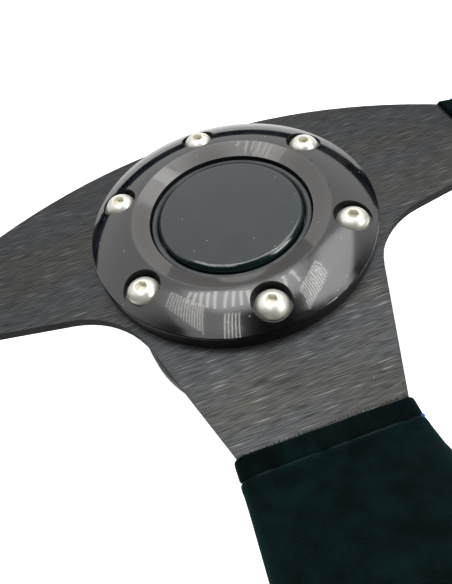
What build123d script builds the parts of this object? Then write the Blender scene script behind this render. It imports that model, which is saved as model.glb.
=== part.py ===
from build123d import *
import os
from math import acos, asin, atan2, cos, degrees, radians, sin, sqrt, tan

# Quick-release steering wheel: a black three-spoke plate with a D-shaped suede rim, a horn
# push held by a six-screw trim ring, and a ball-lock release between the wheel and the column.
#
# Frame, in millimetres: the wheel lies flat, +Z runs along the steering axis towards the
# driver, +Y is twelve o'clock and +X three o'clock. The origin is the centre of the bolt
# circle on the back face of the column flange, so the part stands on Z = 0.
# The release is stored open: the wheel is seated and the collar is held back.

os.makedirs("parts", exist_ok=True)

# --- Driving dimensions -------------------------------------------------------------------
# Bolt circle shared by the column flange, the hub flange, the plate and the trim ring
PCD = 70
BOLT_COUNT = 6
BOLT_R = PCD / 2
BOLT_START = 30                  # first hole, from +X towards +Y
M5_CLEARANCE_R = 2.65
M5_THREAD_R = 2.5
FLANGE_R = 42
COLUMN_FLANGE_R = 40
TURNED_CHAMFER = 0.8             # on the turned aluminium pieces

# Heights along the steering axis
COLUMN_FLANGE_T = 7
BOSS_TOP = 32
HUB_BOTTOM = 12
HUB_FLANGE_BOTTOM = 40
PLATE_BOTTOM = 47
PLATE_T = 3
PLATE_TOP = PLATE_BOTTOM + PLATE_T

# Column boss and the hub's bore
BOSS_R = 15.5
BOSS_BORE_R = 10.5
SPLINE_TIP_R = 17
SPLINE_TOP = 19
SPLINE_COUNT = 20
SPLINE_TOOTH_W = 2.4
SPLINE_SIDE_GAP = 0.15
BORE_GAP = 0.2
HUB_BORE_R = BOSS_R + BORE_GAP
BARREL_R = 21

# Ball lock: each ball moves a quarter of the collar's travel
BALL_R = 3.5
BALL_COUNT = 6
BALL_Z = 24
BALL_OPEN_R = 19.3               # ball centre from the axis, collar held back
BALL_LOCKED_R = 17.5
RAMP = 0.25
BALL_RAMP_GAP = 0.1
BALL_LIP_R = 16.1                # the ball holes stop short of the bore by this lip
COLLAR_BORE_R = BARREL_R + 0.15
COLLAR_BOTTOM = 19
COLLAR_TOP = 38.6
COLLAR_R = 26.5
FINGER_FLANGE_R = 31
FINGER_FLANGE_T = 4
SPRING_SEAT_Z = 34
RETAINER_R = 23.2
RETAINER_T = 1.5
RETAINER_Z = 14.2

# Horn trim ring, above the plate
RING_R = 42.2
RING_BORE_R = 24.1
RING_WALL_H = 4.4
RING_CREST_R = 29
RING_CREST_H = 7.9
RING_BORE_EDGE_H = 5.7
SCREW_SEAT_H = 4.8
SCREW_HEAD_R = 4.6
SCREW_HEAD_H = 2.75
SCREW_LENGTH = 14
SCREW_POCKET_R = 5.4

# Horn push
HORN_CLAMP_R = 27
HORN_CLAMP_T = 1.2
BEZEL_R = 23.7
BEZEL_BORE_R = 22.1
BEZEL_H = 4.6
HORN_BODY_R = 24
HORN_CHAMBER_R = 23
HORN_BOTTOM = 44.5
HORN_BASE_T = 2
CAP_R = 21.5
CAP_H = 6
CAP_T = 2
HORN_TRAVEL = 1.5
PLATE_BORE_R = 24.3

# Spoke plate: flat in the middle, its three arms bent up to the rim under the suede
ARCH_R = 154
ARCH_TOP_Y = 45
SPOKE_HEM_X = 81                 # where the suede starts on the side spokes
SPOKE_HEM_Y = -66.8              # where it starts on the lower spoke
HEM_TO_BEND = 12                 # the plate bends up here, inside the boot
SIDE_ARM_LOW_Y = -8
SIDE_ARM_HIGH_Y = 16
LOWER_ARM_HALF_W = 14
ARM_TAB_LENGTH = 20
ARM_OVERLAP = 4                  # how far the bent arms run back into the flat plate

# Rim: D-shaped centre line, oval grip, raised towards the driver
DISH = 40
RIM_R = 161
RIM_FLAT_Y = -136
RIM_CORNER_R = 60
RIM_HALF_W = 14
RIM_HALF_H = 15.5
COVER_T = 1.2
CORE_HALF_W = 7
CORE_T = 4
TOP_SEAM_ANGLE = 35
RIVET_R = 2
RIVET_HEAD_R = 3.6
RIVET_HEAD_T = 1.6

# --- Worked-out positions -----------------------------------------------------------------
RIM_Z = PLATE_TOP + DISH
CORNER_Y = RIM_FLAT_Y + RIM_CORNER_R
CORNER_X = sqrt((RIM_R - RIM_CORNER_R) ** 2 - CORNER_Y**2)
CORNER_ANGLE = degrees(asin(CORNER_Y / (RIM_R - RIM_CORNER_R)))
RIM_INNER_Y = RIM_FLAT_Y + RIM_HALF_W
CORE_BOTTOM = RIM_Z - CORE_T / 2
CORE_TOP = RIM_Z + CORE_T / 2
TAB_BOTTOM = CORE_BOTTOM - PLATE_T
RIVET_X = RIM_R - 0.5
RIVET_POINTS = [
    (RIVET_X, 10), (RIVET_X, -2), (-RIVET_X, 10), (-RIVET_X, -2), (8, RIM_FLAT_Y), (-8, RIM_FLAT_Y),
]
RAMP_R_AT_BALL = BALL_OPEN_R + (BALL_R + BALL_RAMP_GAP) * sqrt(1 + RAMP**2)


def d_outline(grow):
    """Closed D-shaped line, this far outside the rim's centre line. Used inside BuildLine."""
    flat_y = RIM_FLAT_Y - grow
    corner_size = 90 + CORNER_ANGLE
    Line((-CORNER_X, flat_y), (CORNER_X, flat_y))
    CenterArc((CORNER_X, CORNER_Y), RIM_CORNER_R + grow, -90, corner_size)
    CenterArc((0, 0), RIM_R + grow, CORNER_ANGLE, 180 - 2 * CORNER_ANGLE)
    CenterArc((-CORNER_X, CORNER_Y), RIM_CORNER_R + grow, 180 - CORNER_ANGLE, corner_size)


def grip_section(path):
    """Plane across the start of a rim path, with its local X upwards."""
    return Plane(origin=path @ 0, x_dir=(0, 0, 1), z_dir=path % 0)


# --- Column side ---------------------------------------------------------------------------
with BuildPart() as column_boss:
    with BuildSketch(Plane.XZ):
        with BuildLine():
            Polyline(
                (BOSS_BORE_R, 0), (COLUMN_FLANGE_R - TURNED_CHAMFER, 0),
                (COLUMN_FLANGE_R, TURNED_CHAMFER), (COLUMN_FLANGE_R, COLUMN_FLANGE_T - TURNED_CHAMFER),
                (COLUMN_FLANGE_R - TURNED_CHAMFER, COLUMN_FLANGE_T),
                (BOSS_R, COLUMN_FLANGE_T), (BOSS_R, BOSS_TOP - 3), (BOSS_R - 1.5, BOSS_TOP),
                (BOSS_BORE_R, BOSS_TOP), close=True,
            )
        make_face()
    revolve(axis=Axis.Z)
    with BuildSketch(Plane.XY.offset(COLUMN_FLANGE_T)):
        with PolarLocations(SPLINE_TIP_R - 0.9, SPLINE_COUNT):
            Rectangle(1.8, SPLINE_TOOTH_W)
    extrude(amount=SPLINE_TOP - COLUMN_FLANGE_T)
    with BuildSketch(Plane.XZ):
        with Locations((BALL_LOCKED_R, BALL_Z)):
            Circle(BALL_R + 0.3)
    revolve(axis=Axis.Z, mode=Mode.SUBTRACT)
    with BuildSketch():
        with PolarLocations(BOLT_R, BOLT_COUNT, start_angle=BOLT_START):
            Circle(M5_CLEARANCE_R)
    extrude(amount=COLUMN_FLANGE_T, mode=Mode.SUBTRACT)
column_boss.part.label = "column_boss"
export_step(column_boss.part, "parts/column_boss.step")

# Rubber ring that takes up the play between the hub and the flange
with BuildPart() as anti_rattle_ring:
    with BuildSketch(Plane.XY.offset(COLUMN_FLANGE_T)):
        Circle(BARREL_R - 0.2)
        Circle(SPLINE_TIP_R + 0.3, mode=Mode.SUBTRACT)
    extrude(amount=HUB_BOTTOM - 0.2 - COLUMN_FLANGE_T)
    fillet(anti_rattle_ring.edges().group_by(Axis.Z)[-1], 1)
anti_rattle_ring.part.label = "anti_rattle_ring"
export_step(anti_rattle_ring.part, "parts/anti_rattle_ring.step")

# --- Wheel side of the quick release -------------------------------------------------------
HUB_CAVITY_R = 19.5
HUB_CAVITY_Z = 35
HORN_POCKET_R = HORN_BODY_R + 0.6
HORN_POCKET_Z = 43
with BuildPart() as quick_release_hub:
    with BuildSketch(Plane.XZ):
        with BuildLine():
            Polyline(
                (HUB_BORE_R + TURNED_CHAMFER, HUB_BOTTOM), (BARREL_R - 0.6, HUB_BOTTOM),
                (BARREL_R, HUB_BOTTOM + 0.6), (BARREL_R, RETAINER_Z - 0.05),
                (BARREL_R - 1, RETAINER_Z - 0.05), (BARREL_R - 1, RETAINER_Z + RETAINER_T + 0.05),
                (BARREL_R, RETAINER_Z + RETAINER_T + 0.05), (BARREL_R, HUB_FLANGE_BOTTOM),
                (FLANGE_R - TURNED_CHAMFER, HUB_FLANGE_BOTTOM),
                (FLANGE_R, HUB_FLANGE_BOTTOM + TURNED_CHAMFER),
                (FLANGE_R, PLATE_BOTTOM), (HORN_POCKET_R, PLATE_BOTTOM),
                (HORN_POCKET_R, HORN_POCKET_Z), (HUB_CAVITY_R, HORN_POCKET_Z),
                (HUB_CAVITY_R, HUB_CAVITY_Z), (HUB_BORE_R, HUB_CAVITY_Z),
                (HUB_BORE_R, HUB_BOTTOM + TURNED_CHAMFER), close=True,
            )
        make_face()
    revolve(axis=Axis.Z)
    with BuildSketch(Plane.XY.offset(HUB_BOTTOM)):
        with PolarLocations(SPLINE_TIP_R - 0.7, SPLINE_COUNT):
            Rectangle(1.8, SPLINE_TOOTH_W + 2 * SPLINE_SIDE_GAP)
    extrude(amount=SPLINE_TOP + 0.5 - HUB_BOTTOM, mode=Mode.SUBTRACT)
    with Locations((0, 0, BALL_Z)):
        # ball holes, each with a narrower lip at the bore that keeps the ball in
        with PolarLocations((BALL_LIP_R + BARREL_R + 1) / 2, BALL_COUNT):
            Cylinder(
                BALL_R + 0.05, BARREL_R + 1 - BALL_LIP_R, rotation=(0, 90, 0), mode=Mode.SUBTRACT
            )
        with PolarLocations(HUB_BORE_R, BALL_COUNT):
            Cylinder(BALL_R - 0.2, 2, rotation=(0, 90, 0), mode=Mode.SUBTRACT)
    with BuildSketch(Plane.XY.offset(HUB_FLANGE_BOTTOM)):
        with PolarLocations(BOLT_R, BOLT_COUNT, start_angle=BOLT_START):
            Circle(M5_THREAD_R)
    extrude(amount=PLATE_BOTTOM - HUB_FLANGE_BOTTOM, mode=Mode.SUBTRACT)
quick_release_hub.part.label = "quick_release_hub"
export_step(quick_release_hub.part, "parts/quick_release_hub.step")

# Collar: its cone pushes the balls in as it drops towards the column
RECESS_TOP_Z = BALL_Z - 3
RECESS_R = RAMP_R_AT_BALL + 3 * RAMP
RAMP_TOP_Z = BALL_Z + (RAMP_R_AT_BALL - COLLAR_BORE_R) / RAMP
SPRING_POCKET_R = 23.8
with BuildPart() as release_collar:
    with BuildSketch(Plane.XZ):
        with BuildLine():
            Polyline(
                (RECESS_R, COLLAR_BOTTOM), (FINGER_FLANGE_R - TURNED_CHAMFER, COLLAR_BOTTOM),
                (FINGER_FLANGE_R, COLLAR_BOTTOM + TURNED_CHAMFER),
                (FINGER_FLANGE_R, COLLAR_BOTTOM + FINGER_FLANGE_T - TURNED_CHAMFER),
                (FINGER_FLANGE_R - TURNED_CHAMFER, COLLAR_BOTTOM + FINGER_FLANGE_T),
                (COLLAR_R, COLLAR_BOTTOM + FINGER_FLANGE_T), (COLLAR_R, COLLAR_TOP - TURNED_CHAMFER),
                (COLLAR_R - TURNED_CHAMFER, COLLAR_TOP), (SPRING_POCKET_R, COLLAR_TOP),
                (SPRING_POCKET_R, SPRING_SEAT_Z), (COLLAR_BORE_R, SPRING_SEAT_Z),
                (COLLAR_BORE_R, RAMP_TOP_Z), (RECESS_R, RECESS_TOP_Z), close=True,
            )
        make_face()
    revolve(axis=Axis.Z)
    with BuildSketch(Plane.XY.offset(COLLAR_BOTTOM)):
        with PolarLocations(FINGER_FLANGE_R + 1.6, 12, start_angle=15):
            Circle(3.2)
    extrude(amount=FINGER_FLANGE_T, mode=Mode.SUBTRACT)
release_collar.part.label = "release_collar"
export_step(release_collar.part, "parts/release_collar.step")

COLLAR_WIRE_R = 0.6
COLLAR_COIL_R = BARREL_R + 1.45
COLLAR_COIL_H = HUB_FLANGE_BOTTOM - SPRING_SEAT_Z - 2 * COLLAR_WIRE_R - 0.1
with BuildPart() as collar_spring:
    with BuildLine(Plane.XY.offset(SPRING_SEAT_Z + COLLAR_WIRE_R + 0.05)) as collar_coil:
        Helix(pitch=COLLAR_COIL_H / 3, height=COLLAR_COIL_H, radius=COLLAR_COIL_R)
    with BuildSketch(Plane(origin=collar_coil.line @ 0, z_dir=collar_coil.line % 0)):
        Circle(COLLAR_WIRE_R)
    sweep(is_frenet=True)
collar_spring.part.label = "collar_spring"
export_step(collar_spring.part, "parts/collar_spring.step")

with BuildPart() as collar_retainer:
    with BuildSketch(Plane.XY.offset(RETAINER_Z)):
        Circle(RETAINER_R)
        Circle(BARREL_R - 0.95, mode=Mode.SUBTRACT)
        with Locations((0, -BARREL_R)):
            Rectangle(7, 8, mode=Mode.SUBTRACT)
    extrude(amount=RETAINER_T)
collar_retainer.part.label = "collar_retainer"
export_step(collar_retainer.part, "parts/collar_retainer.step")

for number in range(1, BALL_COUNT + 1):
    angle = radians(360 / BALL_COUNT * (number - 1))
    with BuildPart() as locking_ball:
        with Locations((BALL_OPEN_R * cos(angle), BALL_OPEN_R * sin(angle), BALL_Z)):
            Sphere(BALL_R)
    locking_ball.part.label = f"locking_ball_{number}"
    export_step(locking_ball.part, f"parts/locking_ball_{number}.step")

# --- Spoke plate ---------------------------------------------------------------------------
ARCH_CENTRE_Y = ARCH_TOP_Y - ARCH_R
ARCH_END_X = SPOKE_HEM_X + 3
ARCH_END_ANGLE = degrees(acos(ARCH_END_X / ARCH_R))
ARCH_END_Y = ARCH_CENTRE_Y + sqrt(ARCH_R**2 - ARCH_END_X**2)
SIDE_BEND = SPOKE_HEM_X + HEM_TO_BEND
LOWER_BEND = -SPOKE_HEM_Y + HEM_TO_BEND
# Where the edges of a side spoke and of the lower spoke start, and the corner between them
SIDE_SPOKE_FOOT = (85.2, -8.9)
LOWER_SPOKE_FOOT = (19.8, -68.6)
ARMPIT = (38.1, -17.8)
ARMPIT_R = 26


def arm_profile(bend, rim_centre):
    """Side view of an arm as (distance from the axis, height): flat, up, then flat under the hoop."""
    rise_end = rim_centre - RIM_HALF_W
    tab_end = rise_end + ARM_TAB_LENGTH
    slope = atan2(TAB_BOTTOM - PLATE_BOTTOM, rise_end - bend)
    mitre = PLATE_T / 2 * tan(slope / 2)
    return [
        (bend - ARM_OVERLAP, PLATE_BOTTOM), (bend + mitre, PLATE_BOTTOM), (rise_end + mitre, TAB_BOTTOM),
        (tab_end, TAB_BOTTOM), (tab_end, CORE_BOTTOM), (rise_end - mitre, CORE_BOTTOM),
        (bend - mitre, PLATE_TOP), (bend - ARM_OVERLAP, PLATE_TOP),
    ]


with BuildPart() as spoke_plate:
    with BuildSketch(Plane.XY.offset(PLATE_BOTTOM)):
        with BuildLine():
            CenterArc((0, ARCH_CENTRE_Y), ARCH_R, ARCH_END_ANGLE, 90 - ARCH_END_ANGLE)
            Polyline(
                (ARCH_END_X, ARCH_END_Y), (SIDE_BEND, SIDE_ARM_HIGH_Y),
                (SIDE_BEND, SIDE_ARM_LOW_Y), SIDE_SPOKE_FOOT,
            )
            FilletPolyline(SIDE_SPOKE_FOOT, ARMPIT, LOWER_SPOKE_FOOT, radius=ARMPIT_R)
            Polyline(
                LOWER_SPOKE_FOOT, (LOWER_ARM_HALF_W, -LOWER_BEND), (0, -LOWER_BEND),
            )
            mirror(about=Plane.YZ)
        make_face()
        Circle(PLATE_BORE_R, mode=Mode.SUBTRACT)
        with PolarLocations(BOLT_R, BOLT_COUNT, start_angle=BOLT_START):
            Circle(M5_CLEARANCE_R, mode=Mode.SUBTRACT)
    extrude(amount=PLATE_T)
    with BuildSketch(Plane.XZ.offset(-SIDE_ARM_HIGH_Y)):
        with BuildLine():
            Polyline(*arm_profile(SIDE_BEND, RIM_R), close=True)
        make_face()
        mirror(about=Plane.YZ)
    extrude(amount=SIDE_ARM_HIGH_Y - SIDE_ARM_LOW_Y)
    with BuildSketch(Plane.YZ):
        with BuildLine():
            Polyline(*[(-run, z) for run, z in arm_profile(LOWER_BEND, -RIM_FLAT_Y)], close=True)
        make_face()
    extrude(amount=LOWER_ARM_HALF_W, both=True)
    with BuildSketch(Plane.XY.offset(TAB_BOTTOM)):
        with Locations(RIVET_POINTS):
            Circle(RIVET_HEAD_R)
    extrude(amount=RIVET_HEAD_T, taper=45, mode=Mode.SUBTRACT)
    with BuildSketch(Plane.XY.offset(TAB_BOTTOM)):
        with Locations(RIVET_POINTS):
            Circle(RIVET_R)
    extrude(amount=PLATE_T, mode=Mode.SUBTRACT)
spoke_plate.part.label = "spoke_plate"
export_step(spoke_plate.part, "parts/spoke_plate.step")

# --- Horn trim ring and its screws ---------------------------------------------------------
SLOPE_MID_R = (RING_R + RING_CREST_R) / 2
SLOPE_MID_H = (RING_WALL_H + RING_CREST_H) / 2 + 0.75
with BuildPart() as horn_ring:
    with BuildSketch(Plane.XZ):
        with BuildLine():
            Polyline(
                (RING_BORE_R, PLATE_TOP + RING_BORE_EDGE_H), (RING_BORE_R, PLATE_TOP + HORN_CLAMP_T),
                (HORN_CLAMP_R, PLATE_TOP + HORN_CLAMP_T), (HORN_CLAMP_R, PLATE_TOP),
                (RING_R, PLATE_TOP), (RING_R, PLATE_TOP + RING_WALL_H),
            )
            ThreePointArc(
                (RING_R, PLATE_TOP + RING_WALL_H), (SLOPE_MID_R, PLATE_TOP + SLOPE_MID_H),
                (RING_CREST_R, PLATE_TOP + RING_CREST_H),
            )
            Line(
                (RING_CREST_R, PLATE_TOP + RING_CREST_H),
                (RING_BORE_R, PLATE_TOP + RING_BORE_EDGE_H),
            )
        make_face()
    revolve(axis=Axis.Z)
    crest_edge = horn_ring.edges().group_by(Axis.Z)[-1]
    fillet(crest_edge, 1)
    shoulder_edge = horn_ring.edges().filter_by(GeomType.CIRCLE).group_by(SortBy.RADIUS)[-1]
    fillet(shoulder_edge.group_by(Axis.Z)[-1], 0.5)
    with BuildSketch(Plane.XY.offset(PLATE_TOP)):
        with PolarLocations(BOLT_R, BOLT_COUNT, start_angle=BOLT_START):
            Circle(M5_CLEARANCE_R)
    extrude(amount=RING_CREST_H, mode=Mode.SUBTRACT)
    with BuildSketch(Plane.XY.offset(PLATE_TOP + SCREW_SEAT_H)):
        with PolarLocations(BOLT_R, BOLT_COUNT, start_angle=BOLT_START):
            Circle(SCREW_POCKET_R)
    extrude(amount=RING_CREST_H, mode=Mode.SUBTRACT)
horn_ring.part.label = "horn_ring"
export_step(horn_ring.part, "parts/horn_ring.step")

# One M5 button-head screw on the Z axis, its seat at the trim ring's pocket floor
SCREW_SEAT_Z = PLATE_TOP + SCREW_SEAT_H
SCREW_BRIM = (SCREW_HEAD_R, SCREW_SEAT_Z + 0.4)
SCREW_CROWN = (2.1, SCREW_SEAT_Z + SCREW_HEAD_H)
HEX_SOCKET_R = 1.5
HEX_SOCKET_DEPTH = 1.6
with BuildPart() as button_screw:
    with BuildSketch(Plane.XZ):
        with BuildLine():
            Polyline(
                (0, SCREW_SEAT_Z + SCREW_HEAD_H), (0, SCREW_SEAT_Z - SCREW_LENGTH),
                (M5_THREAD_R - 0.6, SCREW_SEAT_Z - SCREW_LENGTH),
                (M5_THREAD_R - 0.05, SCREW_SEAT_Z - SCREW_LENGTH + 0.6),
                (M5_THREAD_R - 0.05, SCREW_SEAT_Z), (SCREW_HEAD_R, SCREW_SEAT_Z),
                SCREW_BRIM,
            )
            ThreePointArc(SCREW_BRIM, (SCREW_HEAD_R - 1, SCREW_SEAT_Z + 1.9), SCREW_CROWN)
            Line(SCREW_CROWN, (0, SCREW_SEAT_Z + SCREW_HEAD_H))
        make_face()
    revolve(axis=Axis.Z)
    with BuildSketch(Plane.XY.offset(SCREW_SEAT_Z + SCREW_HEAD_H)):
        RegularPolygon(radius=HEX_SOCKET_R, side_count=6, major_radius=False)
    extrude(amount=-HEX_SOCKET_DEPTH, mode=Mode.SUBTRACT)

with BuildPart() as ring_screws:
    with PolarLocations(BOLT_R, BOLT_COUNT, start_angle=BOLT_START):
        add(button_screw.part)
ring_screws.part.label = "ring_screws"
export_step(ring_screws.part, "parts/ring_screws.step")

# --- Horn push -----------------------------------------------------------------------------
BEZEL_TOP = PLATE_TOP + BEZEL_H
HORN_STEP_Z = PLATE_TOP + 0.2
with BuildPart() as horn_housing:
    with BuildSketch(Plane.XZ):
        with BuildLine():
            Polyline(
                (BEZEL_BORE_R, HORN_STEP_Z), (BEZEL_BORE_R, BEZEL_TOP - 0.4),
                (BEZEL_BORE_R + 0.4, BEZEL_TOP), (BEZEL_R - 0.3, BEZEL_TOP),
                (BEZEL_R, BEZEL_TOP - 0.3), (BEZEL_R, PLATE_TOP + HORN_CLAMP_T),
                (HORN_CLAMP_R, PLATE_TOP + HORN_CLAMP_T), (HORN_CLAMP_R, PLATE_TOP),
                (HORN_BODY_R, PLATE_TOP), (HORN_BODY_R, HORN_BOTTOM),
                (HORN_CHAMBER_R, HORN_BOTTOM), (HORN_CHAMBER_R, HORN_STEP_Z), close=True,
            )
        make_face()
    revolve(axis=Axis.Z)
horn_housing.part.label = "horn_housing"
export_step(horn_housing.part, "parts/horn_housing.step")

TERMINAL_X = 10
TERMINAL_R = 1.6
HORN_BASE_TOP = HORN_BOTTOM + HORN_BASE_T
with BuildPart() as horn_base:
    with BuildSketch(Plane.XY.offset(HORN_BOTTOM)):
        Circle(HORN_CHAMBER_R - 0.05)
        with Locations((TERMINAL_X, 0), (-TERMINAL_X, 0)):
            Circle(TERMINAL_R + 0.05, mode=Mode.SUBTRACT)
    extrude(amount=HORN_BASE_T)
horn_base.part.label = "horn_base"
export_step(horn_base.part, "parts/horn_base.step")

CAP_TOP = PLATE_TOP + CAP_H
CAP_UNDERSIDE = CAP_TOP - CAP_T
CAP_BOTTOM = PLATE_TOP - 1
CAP_LIP_R = HORN_CHAMBER_R - 0.4
CAP_LIP_Z = PLATE_TOP - 0.1
CAP_ROUND = 1.6
CAP_BOSS_R = 2
CAP_BOSS_H = 1.2
with BuildPart() as horn_cap:
    with BuildSketch(Plane.XZ):
        with BuildLine():
            Polyline(
                (CAP_R - CAP_ROUND, CAP_TOP), (0, CAP_TOP), (0, CAP_UNDERSIDE - CAP_BOSS_H),
                (CAP_BOSS_R, CAP_UNDERSIDE - CAP_BOSS_H), (CAP_BOSS_R, CAP_UNDERSIDE),
                (CAP_R - CAP_ROUND, CAP_UNDERSIDE),
                (CAP_R - CAP_ROUND, CAP_BOTTOM), (CAP_LIP_R, CAP_BOTTOM), (CAP_LIP_R, CAP_LIP_Z),
                (CAP_R, CAP_LIP_Z), (CAP_R, CAP_TOP - CAP_ROUND),
            )
            RadiusArc((CAP_R, CAP_TOP - CAP_ROUND), (CAP_R - CAP_ROUND, CAP_TOP), -CAP_ROUND)
        make_face()
    revolve(axis=Axis.Z)
horn_cap.part.label = "horn_cap"
export_step(horn_cap.part, "parts/horn_cap.step")

CONTACT_R = 12
CONTACT_T = 0.8
with BuildPart() as horn_contact_disc:
    with BuildSketch(Plane.XY.offset(CAP_UNDERSIDE - CONTACT_T)):
        Circle(CONTACT_R)
        Circle(CAP_BOSS_R + 0.05, mode=Mode.SUBTRACT)
    extrude(amount=CONTACT_T)
horn_contact_disc.part.label = "horn_contact_disc"
export_step(horn_contact_disc.part, "parts/horn_contact_disc.step")

# Two riveted posts that the disc bridges when the cap is pressed, each with a spade below
POST_TOP = CAP_UNDERSIDE - CONTACT_T - HORN_TRAVEL - 0.1
SPADE_LENGTH = 7
SPADE_W = 4.8
SPADE_T = 0.8
with BuildPart() as horn_terminals:
    with BuildSketch(Plane.XY.offset(HORN_BOTTOM)):
        with Locations((TERMINAL_X, 0), (-TERMINAL_X, 0)):
            Circle(TERMINAL_R)
    extrude(amount=POST_TOP - HORN_BOTTOM)
    with BuildSketch(Plane.XY.offset(HORN_BOTTOM)):
        with Locations((TERMINAL_X, 0), (-TERMINAL_X, 0)):
            Rectangle(SPADE_T, SPADE_W)
    extrude(amount=-SPADE_LENGTH)
horn_terminals.part.label = "horn_terminals"
export_step(horn_terminals.part, "parts/horn_terminals.step")

HORN_WIRE_R = 0.45
HORN_COIL_R = 5
HORN_COIL_H = CAP_UNDERSIDE - CONTACT_T - HORN_BASE_TOP - 2 * HORN_WIRE_R - 0.1
with BuildPart() as horn_spring:
    with BuildLine(Plane.XY.offset(HORN_BASE_TOP + HORN_WIRE_R + 0.05)) as horn_coil:
        Helix(pitch=HORN_COIL_H / 4, height=HORN_COIL_H, radius=HORN_COIL_R)
    with BuildSketch(Plane(origin=horn_coil.line @ 0, z_dir=horn_coil.line % 0)):
        Circle(HORN_WIRE_R)
    sweep(is_frenet=True)
horn_spring.part.label = "horn_spring"
export_step(horn_spring.part, "parts/horn_spring.step")

# --- Rim -----------------------------------------------------------------------------------
# Flat hoop inside the rim, lying on the ends of the plate's arms
with BuildPart() as rim_core:
    with BuildSketch(Plane.XY.offset(CORE_BOTTOM)):
        with BuildLine():
            d_outline(CORE_HALF_W)
        make_face()
        with BuildLine():
            d_outline(-CORE_HALF_W)
        make_face(mode=Mode.SUBTRACT)
    extrude(amount=CORE_T)
    with BuildSketch(Plane.XY.offset(CORE_TOP)):
        with Locations(RIVET_POINTS):
            Circle(RIVET_HEAD_R)
    extrude(amount=-RIVET_HEAD_T, taper=45, mode=Mode.SUBTRACT)
    with BuildSketch(Plane.XY.offset(CORE_BOTTOM)):
        with Locations(RIVET_POINTS):
            Circle(RIVET_R)
    extrude(amount=CORE_T, mode=Mode.SUBTRACT)
rim_core.part.label = "rim_core"
export_step(rim_core.part, "parts/rim_core.step")

# Solid rivets, countersunk flush on both sides
with BuildPart() as rim_rivets:
    with BuildSketch(Plane.XY.offset(CORE_TOP)):
        with Locations(RIVET_POINTS):
            Circle(RIVET_HEAD_R)
    extrude(amount=-RIVET_HEAD_T, taper=45)
    with BuildSketch(Plane.XY.offset(TAB_BOTTOM)):
        with Locations(RIVET_POINTS):
            Circle(RIVET_HEAD_R)
    extrude(amount=RIVET_HEAD_T, taper=45)
    with BuildSketch(Plane.XY.offset(TAB_BOTTOM)):
        with Locations(RIVET_POINTS):
            Circle(RIVET_R)
    extrude(amount=CORE_TOP - TAB_BOTTOM)
rim_rivets.part.label = "rim_rivets"
export_step(rim_rivets.part, "parts/rim_rivets.step")

# The whole grip as one solid: a cutting tool for the boots
with BuildPart() as grip_volume:
    with BuildLine(Plane.XY.offset(RIM_Z)) as grip_path:
        d_outline(0)
    with BuildSketch(grip_section(grip_path.line)):
        Ellipse(RIM_HALF_H, RIM_HALF_W)
    sweep()

with BuildPart() as rim_foam:
    with BuildLine(Plane.XY.offset(RIM_Z)) as foam_path:
        d_outline(0)
    with BuildSketch(grip_section(foam_path.line)):
        Ellipse(RIM_HALF_H - COVER_T, RIM_HALF_W - COVER_T)
    sweep()
    add(rim_core.part, mode=Mode.SUBTRACT)
    add(spoke_plate.part, mode=Mode.SUBTRACT)
    add(rim_rivets.part, mode=Mode.SUBTRACT)
rim_foam.part.label = "rim_foam"
export_step(rim_foam.part, "parts/rim_foam.step")

# Suede cover in four panels, each sewn to the next across the grip
SIDE_PANEL_ANGLE = TOP_SEAM_ANGLE - CORNER_ANGLE
PANELS = {
    "rim_cover_top": (TOP_SEAM_ANGLE, 180 - 2 * TOP_SEAM_ANGLE),
    "rim_cover_right": (CORNER_ANGLE, SIDE_PANEL_ANGLE),
    "rim_cover_left": (180 - TOP_SEAM_ANGLE, SIDE_PANEL_ANGLE),
}
for panel, (start, size) in PANELS.items():
    with BuildPart() as rim_cover:
        with BuildLine(Plane.XY.offset(RIM_Z)) as panel_path:
            CenterArc((0, 0), RIM_R, start, size)
        with BuildSketch(grip_section(panel_path.line)):
            Ellipse(RIM_HALF_H, RIM_HALF_W)
            Ellipse(RIM_HALF_H - COVER_T, RIM_HALF_W - COVER_T, mode=Mode.SUBTRACT)
        sweep()
        add(spoke_plate.part, mode=Mode.SUBTRACT)
    rim_cover.part.label = panel
    export_step(rim_cover.part, f"parts/{panel}.step")

with BuildPart() as rim_cover_bottom:
    with BuildLine(Plane.XY.offset(RIM_Z)) as bottom_path:
        CenterArc(
            (-CORNER_X, CORNER_Y), RIM_CORNER_R, 180 - CORNER_ANGLE, 90 + CORNER_ANGLE
        )
        Line((-CORNER_X, RIM_FLAT_Y), (CORNER_X, RIM_FLAT_Y))
        CenterArc((CORNER_X, CORNER_Y), RIM_CORNER_R, -90, 90 + CORNER_ANGLE)
    with BuildSketch(grip_section(bottom_path.line)):
        Ellipse(RIM_HALF_H, RIM_HALF_W)
        Ellipse(RIM_HALF_H - COVER_T, RIM_HALF_W - COVER_T, mode=Mode.SUBTRACT)
    sweep()
    add(spoke_plate.part, mode=Mode.SUBTRACT)
rim_cover_bottom.part.label = "rim_cover_bottom"
export_step(rim_cover_bottom.part, "parts/rim_cover_bottom.step")

# --- Suede boots where the spokes run into the rim -----------------------------------------
BOOT_SKIN = 1.3
BOOT_TOP = PLATE_TOP + BOOT_SKIN
BOOT_BOTTOM = PLATE_BOTTOM - BOOT_SKIN
BOOT_MEET_ANGLE = radians(50)    # where the boot runs onto the oval, up and down from level
BOOT_MEET_IN = RIM_HALF_W * cos(BOOT_MEET_ANGLE)
BOOT_MEET_UP = RIM_HALF_H * sin(BOOT_MEET_ANGLE)
BOOT_FLAT = 5.2                  # level band behind the hem, before the boot rises
BOOT_SAG = 4.5
SIDE_BOOT_LOW_Y = -11.6
SIDE_BOOT_HIGH_Y = 23.6
SIDE_BOOT_WAIST_X = 118          # halfway point of the side boots' curved edges
SIDE_BOOT_SPREAD_X = 143         # the side boots are this wide where they reach the grip
SIDE_BOOT_SPREAD_LOW_Y = -46
SIDE_BOOT_SPREAD_HIGH_Y = 52
LOWER_BOOT_HALF_W = 21.6
LOWER_BOOT_FLARE = 24
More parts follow.
